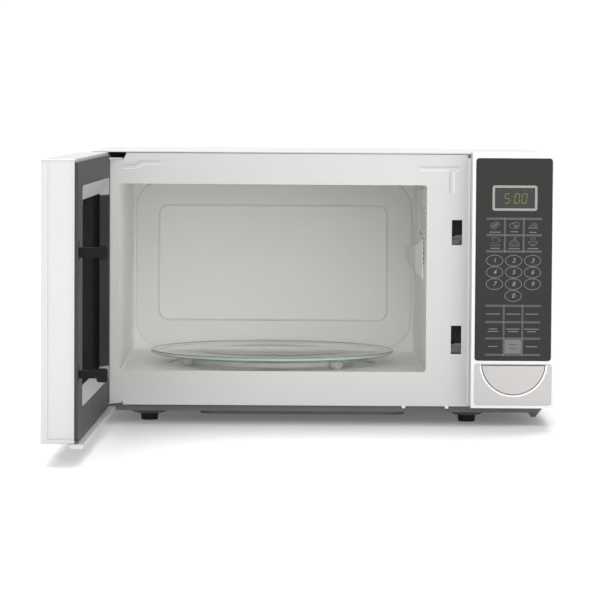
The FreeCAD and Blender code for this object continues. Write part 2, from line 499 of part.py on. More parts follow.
# ---- glass turntable: flat plate, turned-up rim, three drive lugs underneath ----
outline = [(0, GLASS_Z), (TRAY_R - 8, GLASS_Z), (TRAY_R - 1.5, GLASS_Z + 1.4), (TRAY_R, GLASS_Z + 3.0),
           (TRAY_R, GLASS_Z + TRAY_GLASS + 1.2), (TRAY_R - 3, GLASS_Z + TRAY_GLASS + 1.2),
           (TRAY_R - 12, GLASS_Z + TRAY_GLASS - 0.6), (75, GLASS_Z + TRAY_GLASS - 0.6),
           (72, GLASS_Z + TRAY_GLASS), (0, GLASS_Z + TRAY_GLASS)]
pts = [Vec(TRAY_X + r, TRAY_Y, z) for r, z in outline]
glass = Part.Face(Part.makePolygon(pts + pts[:1])).revolve(Vec(TRAY_X, TRAY_Y, 0), Vec(0, 0, 1), 360)
glass_lugs = []
for i in range(3):
    lug = cyl("z", TRAY_X + 14, TRAY_Y, GLASS_Z - 3, 3.2, 3.5)
    lug.rotate(Vec(TRAY_X, TRAY_Y, 0), Vec(0, 0, 1), 60 + 120 * i)
    glass_lugs.append(lug)
nodes["glass_turntable"] = fuse(glass, *glass_lugs)

# ---- roller ring: moulded ring with three stub axles and free wheels ----
AXLE_Z = CAV_FLOOR - TRACK_DROP + MOVE + ROLLER_R
ring = cut(cyl("z", TRAY_X, TRAY_Y, AXLE_Z - 2.2, ROLLER_TRACK - 6.5, 4.4),
           cyl("z", TRAY_X, TRAY_Y, AXLE_Z - 3, ROLLER_TRACK - 11.5, 6))
axles = []
wheels = []
for i in range(3):
    turn = 90 + 120 * i - 14
    axle = fuse(cyl("x", TRAY_X + ROLLER_TRACK - 9, TRAY_Y, AXLE_Z, 1.6, 8 + ROLLER_W),
                cyl("x", TRAY_X + ROLLER_TRACK + ROLLER_W / 2 + MOVE, TRAY_Y, AXLE_Z, 2.4, 2))
    wheel = cut(cyl("x", TRAY_X + ROLLER_TRACK - ROLLER_W / 2, TRAY_Y, AXLE_Z, ROLLER_R, ROLLER_W),
                cyl("x", TRAY_X, TRAY_Y, AXLE_Z, 1.6 + RUN, 200))
    for solid, kept in ((axle, axles), (wheel, wheels)):
        solid.rotate(Vec(TRAY_X, TRAY_Y, 0), Vec(0, 0, 1), turn)
        kept.append(solid)
nodes["roller_ring"] = fuse(ring, *axles)
for i, wheel in enumerate(wheels):
    nodes["roller_%d" % (i + 1)] = wheel

# ---- door, built shut and then swung open about its pins ----
door = {}
DOOR_OUT = -DOOR_GAP - DOOR_T
FACE_T = 3.0
STRIP = 6.0
HINGE_STEP = 3.0
shell = rbox(DOOR_L, DOOR_R, DOOR_OUT, -DOOR_GAP, DOOR_Z0, DOOR_Z1, 3, "y")
hinge_side = DOOR_L + HINGE_STEP
shell = cut(shell, box(DOOR_L - 1, hinge_side, DOOR_OUT + STRIP, 1, DOOR_Z0 - 1, DOOR_Z1 + 1),
            cut(box(hinge_side - 1, hinge_side + 4, -DOOR_GAP - 4, -DOOR_GAP + 1, DOOR_Z0 - 1, DOOR_Z1 + 1),
                cyl("z", hinge_side + 4, -DOOR_GAP - 4, DOOR_Z0 - 1, 4, 300)))
WIN = (40.0, 325.0, 48.0, 238.0)
pocket = box(hinge_side + DOOR_WALL, DOOR_R - DOOR_WALL, DOOR_OUT + FACE_T, 0, DOOR_Z0 + DOOR_WALL, DOOR_Z1 - DOOR_WALL)
keep = box(DOOR_L, 20.6, DOOR_OUT + FACE_T, -DOOR_GAP, DOOR_Z0, DOOR_Z1)
shell = fuse(cut(shell, pocket), shell.common(keep).cut(
    box(hinge_side + DOOR_WALL, 18.6, DOOR_OUT + FACE_T, -DOOR_GAP - 2, DOOR_Z0 + 20, DOOR_Z1 - 20)))
collar = cut(box(WIN[0] - 4, WIN[1] + 4, DOOR_OUT + FACE_T - 0.1, -13, WIN[2] - 4, WIN[3] + 4),
             box(WIN[0] - 1.5, WIN[1] + 1.5, DOOR_OUT, 0, WIN[2] - 1.5, WIN[3] + 1.5))
shell = fuse(shell, collar)
LIP = 3.0
shell = fuse(shell, box(8, DOOR_R - 0.2, -DOOR_GAP - 3.5, LIP, DOOR_Z0 - 4, DOOR_Z0 + 0.01))
shell = cut(shell, box(*WIN[:2], DOOR_OUT - 1, 0, *WIN[2:]),
            rbox(WIN[0] - 3, WIN[1] + 3, DOOR_OUT - 1, DOOR_OUT + 2, WIN[2] - 3, WIN[3] + 3, 4, "y"),
            box(DOOR_R - 1, DOOR_R + 1, DOOR_OUT + 6, -DOOR_GAP - 1.4, DOOR_Z0 + 4, DOOR_Z1 - 3.7))
SWEEP = 23.0
for z, top in ((HINGE_TOP_Z, HINGE_TOP_Z - 10), (HINGE_LOW_Z, HINGE_LOW_Z + 11)):
    shell = shell.cut(cyl("z", PIN_X, PIN_Y, z - MOVE, SWEEP, HINGE_T + 2 * MOVE))
shell = cut(shell, cyl("z", PIN_X, PIN_Y, HINGE_TOP_Z - 11, PIN_R + RUN, 12),
            cyl("z", PIN_X, PIN_Y, HINGE_LOW_Z, PIN_R + RUN, 12))
BAR_L = 350.8
BAR_R = 359.0
BAR_Y0 = -26.0
BAR_Y1 = -16.0
BAR_Z0 = 66.0
BAR_Z1 = 197.0
SPRING_Z1 = 226.0
for z0, z1 in ((84, 90), (150, 156)):
    shell = fuse(shell, box(BAR_L - 3, BAR_L - MOVE, DOOR_OUT + FACE_T - 0.1, -14, z0, z1),
                 box(BAR_R + MOVE, BAR_R + 3, DOOR_OUT + FACE_T - 0.1, -14, z0, z1))
shell = fuse(shell, box(BAR_L - 3, BAR_R + 3, DOOR_OUT + FACE_T - 0.1, -14, SPRING_Z1, SPRING_Z1 + 3))
door["door_frame"] = shell

door["door_outer_window"] = rbox(WIN[0] - 2.8, WIN[1] + 2.8, DOOR_OUT + 0.1, DOOR_OUT + 2, WIN[2] - 2.8,
                                 WIN[3] + 2.8, 4, "y")
GLASS = (50.5, 309.7, 58.0, 224.3)
BEVEL = (31.5, 322.0, 46.0, 239.4)
MESH_Y = -13.0
mesh = box(26, 345, MESH_Y, MESH_Y + 0.8, 30, 252)
folds = cut(box(26, 345, MESH_Y, -6.5, 30, 252), box(26.8, 344.2, MESH_Y - 1, 0, 30.8, 251.2))
door["door_shield"] = fuse(mesh, folds)
PANE_Y = -9.0
door["inner_window"] = box(GLASS[0] - 4, GLASS[1] + 4, MESH_Y + 0.8, PANE_Y, GLASS[2] - 4, GLASS[3] + 4)
rim_out = taper(BEVEL + (7.0,), (GLASS[0] - 3, GLASS[1] + 3, GLASS[2] - 3, GLASS[3] + 3, 5.0), -COVER_GAP, PANE_Y)
rim_in = taper((BEVEL[0] + 1.5, BEVEL[1] - 1.5, BEVEL[2] + 1.5, BEVEL[3] - 1.5, 6.0), GLASS + (3.0,),
               -COVER_GAP + 0.001, PANE_Y - 0.001)
door["window_bezel"] = cut(rim_out, rim_in)
plate = rbox(20.6, DOOR_R - DOOR_WALL, -DOOR_GAP - 2, -COVER_GAP, DOOR_Z0 + DOOR_WALL, DOOR_Z1 - DOOR_WALL, 2, "y")
plate = cut(plate, rim_out)
hollow_out = box(26, DOOR_R - DOOR_WALL - 3, -DOOR_GAP - 3, -COVER_GAP - 1.6, DOOR_Z0 + 6, DOOR_Z1 - 6)
hollow_keep = box(BEVEL[0] - 3, BEVEL[1] + 3, -20, 0, BEVEL[2] - 3, BEVEL[3] + 3)
plate = cut(plate, cut(hollow_out, hollow_keep))
LOW_ARM = (74.2, 80.9)
HIGH_ARM = (178.5, 187.1)
DROP = 2.8
RISE = 5.0
for z0, z1 in (LOW_ARM, HIGH_ARM):
    plate = plate.cut(box(HOOK_L - 0.6, HOOK_R + 0.6, -12, 1, z0 - DROP - MOVE, z1 + RISE + MOVE))
plate = plate.cut(cyl("z", PIN_X, PIN_Y, HINGE_TOP_Z - MOVE, SWEEP, HINGE_T + 2 * MOVE))
plate = plate.cut(cyl("z", PIN_X, PIN_Y, HINGE_LOW_Z - MOVE, SWEEP, HINGE_T + 2 * MOVE))
door["choke_cover"] = plate

# ---- latch: one moulded slide carrying both hooks, with its return spring ----
REACH = 25.0 - COVER_GAP
slide_bar = box(BAR_L, BAR_R, BAR_Y0, BAR_Y1, BAR_Z0, BAR_Z1)
low_hook = fuse(box(HOOK_L, HOOK_R, BAR_Y1 - 0.1, REACH - 4, *LOW_ARM),
                rbox(HOOK_L, HOOK_R, REACH - 9.5, REACH, 70.9, 82.7, 2.5, "x"))
high_hook = fuse(box(HOOK_L, HOOK_R, BAR_Y1 - 0.1, REACH - 4, *HIGH_ARM),
                 rbox(HOOK_L, HOOK_R, REACH - 9.5, REACH, 176.4, 189.7, 4.5, "x"))
door["door_latch"] = fuse(slide_bar, low_hook, high_hook)
coil_path = Part.makeHelix(4.9, SPRING_Z1 - BAR_Z1 - 4.5, 3.0)
coil_path.Placement = FreeCAD.Placement(Vec((BAR_L + BAR_R) / 2, (BAR_Y0 + BAR_Y1) / 2, BAR_Z1 + 2.2),
                                        FreeCAD.Rotation())
start = Vec((BAR_L + BAR_R) / 2 + 3.0, (BAR_Y0 + BAR_Y1) / 2, BAR_Z1 + 2.2)
wire_ring = Part.Wire(Part.makeCircle(0.45, start, Vec(0, 1, 0)))
coil = Part.Wire(coil_path).makePipeShell([wire_ring], True, True)
cap_low = cut(cyl("z", start.x - 3, start.y, BAR_Z1, 3.5, 2.3), cyl("z", start.x - 3, start.y, BAR_Z1 - 1, 2.5, 9))
cap_high = cut(cyl("z", start.x - 3, start.y, SPRING_Z1 - 2.3, 3.5, 2.3),
               cyl("z", start.x - 3, start.y, SPRING_Z1 - 3, 2.5, 9))
door["latch_spring"] = fuse(coil, cap_low, cap_high)

for name, solid in door.items():
    turned = solid.copy()
    turned.rotate(Vec(PIN_X, PIN_Y, 0), Vec(0, 0, 1), -DOOR_OPEN)
    nodes[name] = turned

# ---- origin at the bottom centre of everything, then one file per node ----
whole = Part.makeCompound(list(nodes.values())).BoundBox
shift = Vec(-(whole.XMin + whole.XMax) / 2, -(whole.YMin + whole.YMax) / 2, -whole.ZMin)
os.makedirs("parts", exist_ok=True)
for name, solid in nodes.items():
    placed = solid.copy()
    placed.translate(shift)
    placed.exportStep("parts/%s.step" % name)
print("nodes", len(nodes), "shift", round(shift.x, 3), round(shift.y, 3), round(shift.z, 3))
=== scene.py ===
import math

import bmesh
import bpy
from mathutils import Matrix, Vector


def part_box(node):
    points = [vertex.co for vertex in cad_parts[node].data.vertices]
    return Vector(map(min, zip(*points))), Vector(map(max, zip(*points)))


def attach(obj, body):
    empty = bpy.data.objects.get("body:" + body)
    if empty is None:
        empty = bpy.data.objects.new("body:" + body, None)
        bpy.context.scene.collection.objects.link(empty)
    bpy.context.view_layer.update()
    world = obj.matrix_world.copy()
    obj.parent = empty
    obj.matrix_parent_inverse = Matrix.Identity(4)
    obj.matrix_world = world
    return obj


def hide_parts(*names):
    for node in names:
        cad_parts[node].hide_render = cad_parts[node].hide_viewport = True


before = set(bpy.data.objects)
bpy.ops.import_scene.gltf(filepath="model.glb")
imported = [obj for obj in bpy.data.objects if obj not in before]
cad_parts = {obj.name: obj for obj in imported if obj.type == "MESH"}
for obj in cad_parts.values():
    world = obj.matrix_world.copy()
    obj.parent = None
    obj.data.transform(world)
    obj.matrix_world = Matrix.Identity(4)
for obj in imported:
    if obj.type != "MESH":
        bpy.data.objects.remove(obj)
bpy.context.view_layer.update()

# ---- studio ----
# A long lens set well back and a little above the oven, turned slightly down. The floor is plain
# pale paper, with a soft sun high behind the oven, a weaker one in front of it and an even surround.
MM = 0.001
cover_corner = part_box("outer_cover")[0]


def place(x, y, z):
    """A point given in millimetres from the cabinet's left side, the plate's face and the table."""
    return Vector((cover_corner.x + x * MM, cover_corner.y + y * MM, z * MM))


camera_data = bpy.data.cameras.new("studio_camera")
camera_data.lens = 202.17
camera_data.sensor_width = 36
camera_data.clip_end = 200
camera = bpy.data.objects.new("studio_camera", camera_data)
bpy.context.collection.objects.link(camera)
camera.matrix_world = (Matrix.Translation(place(188.9, -3252, 320.2))
                       @ Matrix.Rotation(math.radians(-0.276), 4, "Z")
                       @ Matrix.Rotation(math.radians(90 - 3.501), 4, "X")
                       @ Matrix.Rotation(math.radians(0.365), 4, "Z"))
bpy.context.scene.camera = camera
bpy.context.scene.view_settings.view_transform = "Standard"

SUNS = (("back_sun", (0.05, -0.52, -0.85), 3.3, 55), ("front_sun", (-0.10, 1.0, -0.11), 1.95, 60))
for name, toward, strength, softness in SUNS:
    sun_data = bpy.data.lights.new(name, "SUN")
    sun_data.energy = strength
    sun_data.angle = math.radians(softness)
    sun = bpy.data.objects.new(name, sun_data)
    sun.rotation_euler = Vector(toward).to_track_quat("-Z", "Y").to_euler()
    bpy.context.collection.objects.link(sun)

SURROUND_LIGHT, SURROUND_SEEN = 0.48, 1.05
surround = bpy.data.worlds.new("white_surround")
surround.use_nodes = True
sky = surround.node_tree
ray = sky.nodes.new("ShaderNodeLightPath")
level = sky.nodes.new("ShaderNodeMapRange")
level.inputs["To Min"].default_value = SURROUND_LIGHT
level.inputs["To Max"].default_value = SURROUND_SEEN
sky.links.new(ray.outputs["Is Camera Ray"], level.inputs["Value"])
sky.links.new(level.outputs["Result"], sky.nodes["Background"].inputs["Strength"])
sky.nodes["Background"].inputs["Color"].default_value = (1, 1, 1, 1)
bpy.context.scene.world = surround


class Term:
    """A value inside a material, written in ordinary arithmetic; each operator adds a Math node."""

    def __init__(self, shader, socket):
        self.shader, self.socket = shader, socket

    def math(self, operation, *values):
        sockets = dict(enumerate(values))
        return self.shader.node("Math", {"operation": operation}, sockets)

    def __add__(self, other):
        return self.math("ADD", self, other)

    def __sub__(self, other):
        return self.math("SUBTRACT", self, other)

    def __rsub__(self, other):
        return self.math("SUBTRACT", other, self)

    def __mul__(self, other):
        return self.math("MULTIPLY", self, other)

    __radd__ = __add__
    __rmul__ = __mul__


class Shader:
    """A material being built: one Principled surface and the nodes that feed it."""

    def __init__(self, name):
        self.material = bpy.data.materials.new(name)
        self.material.use_nodes = True
        self.tree = self.material.node_tree
        self.surface = self.tree.nodes["Principled BSDF"]
        self.here = self.node("TexCoord", {}, {}, "Object")

    def node(self, kind, settings, sockets, out=0):
        """Adds any node: its settings first, then the values or links of its sockets."""
        made = self.tree.nodes.new("ShaderNode" + kind)
        for key, value in settings.items():
            setattr(made, key, value)
        self.feed(made, sockets)
        return Term(self, made.outputs[out])

    def feed(self, made, sockets):
        for key, value in sockets.items():
            if isinstance(value, Term):
                self.tree.links.new(value.socket, made.inputs[key])
            else:
                made.inputs[key].default_value = value

    def mix(self, amount, first, second):
        return self.node("Mix", {"data_type": "RGBA"}, {0: amount, 6: first, 7: second}, 2)

    def noise(self, size, detail=2.0):
        """Clouds from 0 to 1 whose features are about one size, in millimetres."""
        return self.node("TexNoise", {}, {"Vector": self.here, "Scale": 1000 / size, "Detail": detail})

    def between(self, value, low, high):
        """0 below low, 1 above high."""
        return self.node("MapRange", {"interpolation_type": "SMOOTHSTEP"},
                         {"Value": value, "From Min": low, "From Max": high})

    def finish(self, sockets, relief=None, depth=0.0):
        """Feeds the surface; relief and its depth in millimetres make the fine bumps."""
        if relief is not None:
            bump = self.node("Bump", {}, {"Distance": depth * MM, "Height": relief})
            sockets = {**sockets, "Normal": bump}
        self.feed(self.surface, sockets)
        return self.material


paper = Shader("floor_paper")
paper.finish({"Base Color": paper.mix(paper.noise(5, 3), (0.94, 0.94, 0.94, 1), (0.96, 0.96, 0.96, 1)),
              "Roughness": 0.95, "Specular IOR Level": 0.1, "Emission Color": (1, 1, 1, 1),
              "Emission Strength": 0.12})
FLOOR_HALF = 60
bm = bmesh.new()
bmesh.ops.create_grid(bm, x_segments=1, y_segments=1, size=FLOOR_HALF)
floor_mesh = bpy.data.meshes.new("floor")
bm.to_mesh(floor_mesh)
bm.free()
floor_mesh.materials.append(paper.material)
floor = bpy.data.objects.new("floor", floor_mesh)
bpy.context.collection.objects.link(floor)


# ---- outer cover ----
# One steel sheet wrapped over the roof and both sides, with punched louvres, in baked satin
# paint. It is held by screws at the rear.
def tint(colour, amount):
    """A colour made lighter or darker."""
    return tuple(min(1.0, c * amount) for c in colour) + (1.0,)


def enamel(name, colour, roughness, peel=2.5, depth=0.012, coat=0.0):
    """Baked paint on steel: soft orange peel, faint cloudiness and dust specks."""
    s = Shader(name)
    skin, cloud, speck = s.noise(peel, 1), s.noise(95, 3), s.noise(0.8, 3)
    shade = s.mix(cloud * 0.7 + speck * 0.3, tint(colour, 0.97), tint(colour, 1.03))
    return s.finish({"Base Color": shade, "Roughness": roughness - 0.03 + s.noise(55, 3) * 0.06,
                     "Coat Weight": coat, "Coat Roughness": 0.2}, skin, depth)


def dress(material, *nodes):
    """Puts a material on CAD nodes."""
    for node in nodes:
        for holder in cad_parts[node].material_slots:
            holder.material = material


def soften(width, *nodes, segments=2, angle=30):
    """Rounds the edges of CAD nodes as pressing or moulding leaves them; width in millimetres."""
    for node in nodes:
        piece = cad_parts[node]
        weld = piece.modifiers.new("weld", "WELD")
        weld.merge_threshold = 1e-5
        bend = piece.modifiers.new("edges", "BEVEL")
        bend.width = width * MM
        bend.segments = segments
        bend.limit_method = "ANGLE"
        bend.angle_limit = math.radians(angle)
        bend.harden_normals = True


dress(enamel("cover_paint", (0.60, 0.60, 0.595), 0.4, 2.2, 0.02), "outer_cover")


# ---- base, rear panel and brackets ----
# Zinc-coated steel: the base is a shallow pressed tray with a dished pan and a dome over each
# foot, the rear is a punched panel screwed to it.
def zinc(name, colour, roughness, metal=0.6):
    """Zinc-coated sheet: large soft spangles, rolling marks and a dull uneven gloss."""
    s = Shader(name)
    spangle = s.node("TexVoronoi", {}, {"Vector": s.here, "Scale": 1000 / 8}, "Distance")
    cloud, roll = s.noise(30, 3), s.noise(1.1, 2)
    shade = s.mix(spangle * 0.5 + cloud * 0.5, tint(colour, 0.86), tint(colour, 1.14))
    return s.finish({"Base Color": shade, "Metallic": metal, "Roughness": roughness + spangle * 0.12},
                    roll, 0.01)


# painted shade: the base's zinc is made far darker than the rear panel's, for the shadow under the oven
dress(zinc("zinc_base_painted_shade", (0.12, 0.12, 0.117), 0.5, 0.3), "base_plate")
dress(zinc("zinc_panel", (0.46, 0.46, 0.45), 0.4), "rear_panel", "waveguide", "air_duct", "lamp_holder")
dress(zinc("bright_zinc", (0.68, 0.68, 0.66), 0.26, 0.85), "upper_hinge", "lower_hinge", "cover_screws")
soften(1.2, "base_plate", segments=3, angle=9)
soften(0.3, "upper_hinge", "lower_hinge", "cover_screws")


# ---- feet and cable gland ----
# Moulded black rubber. Each foot stands under its dome in the base and has a screw recess in its
# underside; the gland fills its hole in the rear panel.
def moulded(name, colour, roughness, grain=0.45, depth=0.02, shine=0.5, spread=0.03):
    """Injection-moulded plastic or rubber: tool texture, flow clouds and slightly polished spots."""
    s = Shader(name)
    fine, cloud = s.noise(grain, 2), s.noise(60, 3)
    shade = s.mix(cloud * 0.65 + fine * 0.35, tint(colour, 1 - spread), tint(colour, 1 + spread))
    return s.finish({"Base Color": shade, "Roughness": roughness - 0.04 + s.noise(26, 4) * 0.08,
                     "Specular IOR Level": shine}, fine, depth)


rubber = moulded("foot_rubber", (0.010, 0.010, 0.010), 0.62, shine=0.3, spread=0.08)
dress(rubber, "foot_front_left", "foot_front_right", "foot_rear_left", "foot_rear_right", "cord_gland")
soften(0.7, "foot_front_left", "foot_front_right", "foot_rear_left", "foot_rear_right", segments=3)
soften(0.4, "cord_gland")

# ---- front plate ----
# One steel pressing in baked white enamel, spot-welded to the oven. Its stiffening beads are
# pushed out from behind, so their edges run softly into the flat.
dress(enamel("plate_enamel", (0.62, 0.62, 0.61), 0.45), "front_plate")
soften(0.5, "front_plate", segments=3)

# ---- oven ----
# A drawn steel box in off-white enamel, welded behind the front plate. The back is pressed
# forward in a round-cornered field with a raised rectangle; the floor has a wheel track.
OVEN_L, OVEN_R, OVEN_LOW, OVEN_TOP, OVEN_DEEP = 29.2, 327.1, 49.0, 233.4, 293.0
OVEN_SHEET, TRACK_R, SHAFT_R, POCKET = 0.7, 104.0, 8.0, 3.0
LAMP_TOP, LAMP_PITCH, VENT_PITCH, VENT_R = 208.5, 5.0, 6.0, 1.6
TRAY_X, TRAY_Y = 177.5, 145.5


def rounded(bm, y, x0, x1, z0, z1, radius, steps=8):
    """A rounded rectangle of edges standing at one y, in millimetres."""
    before = set(bm.verts)
    corners = [bm.verts.new(place(x, y, z)) for x, z in ((x0, z0), (x1, z0), (x1, z1), (x0, z1))]
    bm.faces.new(corners)
    bmesh.ops.bevel(bm, geom=corners, offset=radius * MM, segments=steps, profile=0.5, affect="VERTICES",
                    material=-1)
    fresh = [v for v in bm.verts if v not in before]
    sheet = list({f for v in fresh for f in v.link_faces})
    bmesh.ops.delete(bm, geom=sheet, context="FACES_ONLY")
    return list({e for v in fresh for e in v.link_edges})


def skin_over(bm, loops):
    """Joins rounded rectangles one after another into a closed form."""
    for near, far in zip(loops, loops[1:]):
        bmesh.ops.bridge_loops(bm, edges=near + far)
    for end in (loops[0], loops[-1]):
        bmesh.ops.edgeloop_fill(bm, edges=end)
    bmesh.ops.recalc_face_normals(bm, faces=bm.faces[:])


def rod(bm, start, end, radius, segments=24):
    """A round bar between two points in millimetres."""
    a, b = place(*start), place(*end)
    turn = (b - a).to_track_quat("Z", "Y").to_matrix().to_4x4()
    bmesh.ops.create_cone(bm, cap_ends=True, segments=segments, radius1=radius * MM, radius2=radius * MM,
                          depth=(b - a).length, matrix=Matrix.Translation((a + b) / 2) @ turn)


def block(bm, x0, x1, y0, y1, z0, z1, radius=0.0, steps=3):
    """A box in millimetres with rounded edges."""
    low, high = place(x0, y0, z0), place(x1, y1, z1)
    size = Matrix.Diagonal((*(high - low), 1.0))
    made = bmesh.ops.create_cube(bm, size=1.0, matrix=Matrix.Translation((low + high) / 2) @ size)
    if radius:
        edges = list({e for v in made["verts"] for e in v.link_edges})
        bmesh.ops.bevel(bm, geom=edges, offset=radius * MM, segments=steps, profile=0.5, affect="EDGES",
                        material=-1)


def finished(name, bm, material, body, sharp=32):
    """Turns a bmesh into a piece that rides on a body, smooth except at its sharp edges."""
    mesh = bpy.data.meshes.new(name)
    bm.to_mesh(mesh)
    bm.free()
    mesh.polygons.foreach_set("use_smooth", [True] * len(mesh.polygons))
    mesh.set_sharp_from_angle(angle=math.radians(sharp))
    mesh.materials.append(material)
    piece = bpy.data.objects.new(name, mesh)
    bpy.context.collection.objects.link(piece)
    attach(piece, body)
    return piece


def carve(piece, steps, sharp=32):
    """Adds or cuts closed shapes, one after another, and keeps the result as the piece's mesh."""
    tools = []
    for operation, bm in steps:
        mesh = bpy.data.meshes.new("tool")
        bmesh.ops.recalc_face_normals(bm, faces=bm.faces[:])
        bm.to_mesh(mesh)
        bm.free()
        tool = bpy.data.objects.new("tool", mesh)
        bpy.context.collection.objects.link(tool)
        change = piece.modifiers.new("change", "BOOLEAN")
        change.operation, change.object, change.solver = operation, tool, "EXACT"
        tools.append(tool)
    result = bpy.data.meshes.new_from_object(piece.evaluated_get(bpy.context.evaluated_depsgraph_get()))
    piece.modifiers.clear()
    old, piece.data = piece.data, result
    bpy.data.meshes.remove(old)
    for tool in tools:
        bpy.data.meshes.remove(tool.data)
    result.polygons.foreach_set("use_smooth", [True] * len(result.polygons))
    result.set_sharp_from_angle(angle=math.radians(sharp))


def oven_shape(g):
    """The oven as a closed form, grown outwards by g millimetres."""
    bm = bmesh.new()
    # each outline is y, left, right, floor, roof and corner radius
    sides = (OVEN_L - g, OVEN_R + g, OVEN_LOW - g, OVEN_TOP + g)
    rear = OVEN_DEEP + g
    outlines = ((0.8, *sides, 3 + g), (288 + g, *sides, 3 + g),
                (rear - 1.2, 30.6 - g, 325.7 + g, 50.4 - g, 232 + g, 4),
                (rear, 32.0, 324.3, 52.0, 230.6, 8), (rear, 33.0, 323.3, 53.0, 229.6, 29.0),
                (rear - 1.6, 34.2, 322.1, 54.2, 228.4, 28.2), (rear - 3.6, 56.6, 298.3, 81.3, 204.0, 11.0),
                (rear - 5.4, 58.6, 296.3, 83.3, 202.0, 9.0))
    skin_over(bm, [rounded(bm, *outline) for outline in outlines])
    return bm


oven_enamel = enamel("oven_enamel", (0.95, 0.940, 0.912), 0.42, 1.6, 0.005, 0.1)
oven = finished("oven_liner", oven_shape(OVEN_SHEET), oven_enamel, "cabinet")
pans, hollows, holes, mouth = (bmesh.new() for _ in range(4))
rod(pans, (TRAY_X, TRAY_Y, OVEN_LOW - 2.7), (TRAY_X, TRAY_Y, OVEN_LOW - 0.3), TRACK_R + OVEN_SHEET, 96)
block(pans, OVEN_R + 0.3, OVEN_R + POCKET + OVEN_SHEET, 112.3, 231.7, 178.3, 223.7)
rod(hollows, (TRAY_X, TRAY_Y, OVEN_LOW - 2), (TRAY_X, TRAY_Y, OVEN_LOW + 3), TRACK_R, 96)
block(hollows, OVEN_R - 3, OVEN_R + POCKET, 113, 231, 179, 223)
for i in range(12):
    z = LAMP_TOP - LAMP_PITCH * i
    block(holes, OVEN_R - 3, OVEN_R + 5, 68, 98, z - 1.2, z + 1.2)
for i in range(6):
    for j in range(4):
        y, z = 60 + VENT_PITCH * i, 196 - VENT_PITCH * j
        rod(holes, (OVEN_L - 5, y, z), (OVEN_L + 5, y, z), VENT_R, 12)
for z in (188, 203.5):
    block(holes, OVEN_R - 3, OVEN_R + 8, 150, 190, z, z + 9.5)
block(holes, OVEN_R - 3, OVEN_R + 4, 112, 150, 225.2, 227.6)
block(holes, OVEN_R - 3, OVEN_R + 4, 128, 200, 146, 168)
rod(holes, (TRAY_X, TRAY_Y, 40), (TRAY_X, TRAY_Y, 56), SHAFT_R, 32)
block(mouth, OVEN_L, OVEN_R, -3, 2, OVEN_LOW, OVEN_TOP)
carve(oven, (("UNION", pans), ("DIFFERENCE", oven_shape(0)), ("DIFFERENCE", hollows), ("DIFFERENCE", holes),
             ("DIFFERENCE", mouth)), 14)
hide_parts("oven_cavity")
dress(oven_enamel, "oven_cavity")
dress(enamel("waveguide_board", (0.90, 0.90, 0.885), 0.5, 0.8, 0.02), "waveguide_cover")
soften(1.5, "waveguide_cover", segments=3, angle=8)

# ---- painted shade screen ----
# Dull black sheet in three strips just outside the oven wall, behind the lamp slots, the two
# pocket slots and the slit over the pocket. It is painted shade that keeps these openings dark and
# keeps the bay behind from showing through.
bm = bmesh.new()
block(bm, OVEN_R + 1.1, OVEN_R + 1.6, 64, 102, 148, 213)
block(bm, OVEN_R + 3.4, OVEN_R + 3.9, 146, 194, 186, 215)
block(bm, OVEN_R + 1.1, OVEN_R + 1.6, 108, 154, 224, 229)
# painted shade: a near-black sheet standing in for the shade behind the slots
painted_shade_black = moulded("painted_shade_black", (0.006, 0.006, 0.006), 0.7, shine=0.1)
finished("painted_shade_screen", bm, painted_shade_black, "cabinet")

# ---- turntable ----
# A pressed clear glass plate with a turned-up rim, 245 mm across. Its cut edges look green, and
# three lugs under it sit in the drive coupler.
GLASS_Z, LUG_R, LUG_RING = 57.8, 3.2, 14


def glass(name, colour, roughness, through, ripple=9.0, depth=0.02):
    """Clear moulded glass: faint ripples, a trace of smear and a colour of its own."""
    s = Shader(name)
    wave, smear = s.noise(ripple, 2), s.between(s.noise(30, 4), 0.5, 0.8)
    shade = s.mix(s.noise(50, 2), tint(colour, 0.98), tint(colour, 1.02))
    return s.finish({"Base Color": shade, "Roughness": roughness + smear * 0.05,
                     "Transmission Weight": through, "IOR": 1.5}, wave, depth)


bm = bmesh.new()
profile = [(0, 0), (114.5, 0), (119.6, 0.9), (121.9, 2.2), (122.5, 4.0), (122.1, 5.0), (121.2, 5.2),
           (120.0, 5.1), (118.6, 4.7), (110.5, 3.5), (76.0, 3.4), (74.6, 3.5), (73.0, 3.9), (71.8, 4.0), (0, 4.0)]
chain = [bm.verts.new(place(TRAY_X + r, TRAY_Y, GLASS_Z + z)) for r, z in profile]
edges = [bm.edges.new(pair) for pair in zip(chain, chain[1:])]
bmesh.ops.spin(bm, geom=chain + edges, cent=place(TRAY_X, TRAY_Y, GLASS_Z), axis=(0, 0, 1), angle=math.tau,
               steps=120, use_merge=True)
bmesh.ops.remove_doubles(bm, verts=bm.verts[:], dist=1e-6)
bmesh.ops.recalc_face_normals(bm, faces=bm.faces[:])
for i in range(3):
    turn = math.radians(60 + 120 * i)
    x, y = TRAY_X + LUG_RING * math.cos(turn), TRAY_Y + LUG_RING * math.sin(turn)
    rod(bm, (x, y, GLASS_Z - 3), (x, y, GLASS_Z + 0.5), LUG_R)
tray_glass = glass("tray_glass", (0.93, 0.965, 0.95), 0.03, 1.0)
tray = finished("glass_plate", bm, tray_glass, "turntable", 40)
tray.data.materials.append(glass("tray_rim", (0.42, 0.60, 0.53), 0.15, 0.3))
tray.data.materials.append(glass("tray_edge", (0.80, 0.875, 0.85), 0.2, 0.25))
for face in tray.data.polygons:
    out = (face.center - place(TRAY_X, TRAY_Y, GLASS_Z)).to_2d().length / MM
    up = face.center.z / MM - GLASS_Z
    if (out > 122 and up > 4) or (119.6 < out < 121.9 and up < 2.2):
        face.material_index = 1
    elif out > 121.9 and up < 4:
        face.material_index = 2
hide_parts("glass_turntable")
dress(tray_glass, "glass_turntable")

